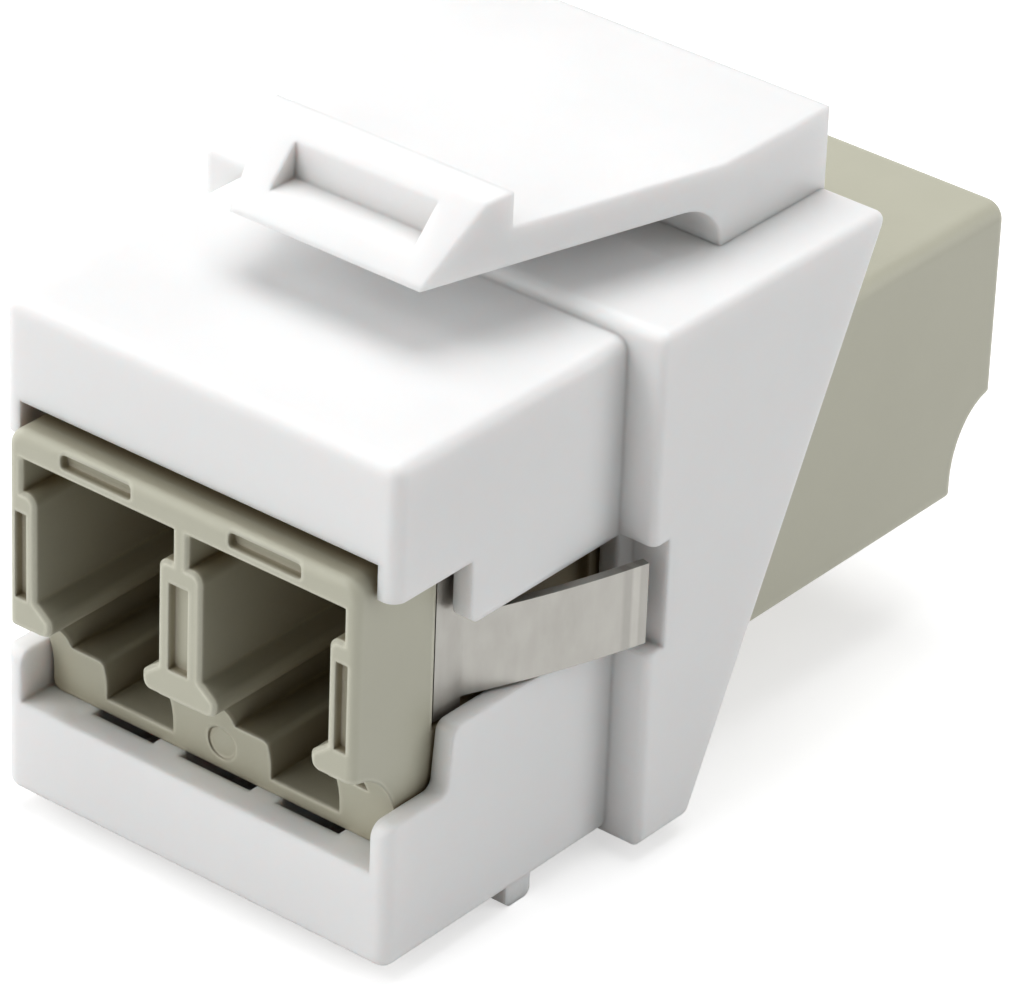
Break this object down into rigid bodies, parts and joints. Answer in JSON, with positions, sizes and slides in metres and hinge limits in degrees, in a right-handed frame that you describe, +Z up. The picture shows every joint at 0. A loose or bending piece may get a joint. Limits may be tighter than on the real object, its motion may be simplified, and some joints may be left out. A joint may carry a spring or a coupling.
{
  "type": "lc fibre adapter in a keystone snap-in housing",
  "caption": "LC fibre adapter held in a white snap-in housing for a keystone panel opening, with a flexing latch arm and a folded spring clip.",
  "frame": {"origin": "middle of the front block's lower edge, on the plane where the flange's front face meets the back of the panel", "axes": "+X across the two ports, +Y from the user's side back through the panel along the ports, +Z up towards the latch arm"},
  "size_m": [0.017, 0.0302, 0.0211],
  "materials": {
    "white_plastic": "satin",
    "beige_plastic": "satin",
    "zirconia": "gloss",
    "spring_steel": "satin"
  },
  "bodies": {
    "housing": {"keystone_housing": "white_plastic", "adapter_front_half": "beige_plastic", "adapter_rear_half": "beige_plastic", "left_alignment_sleeve": "zirconia", "right_alignment_sleeve": "zirconia", "spring_clip": "spring_steel"},
    "latch": {"latch_arm": "white_plastic"}
  },
  "joints": [
    {"name": "latch_flex", "type": "hinge", "parent": "housing", "child": "latch", "pos_m": [0, 0.0042, 0.01892], "axis": [1, 0, 0], "range_deg": [0, 10], "stiffness_Nm_per_rad": 0.3}
  ]
}
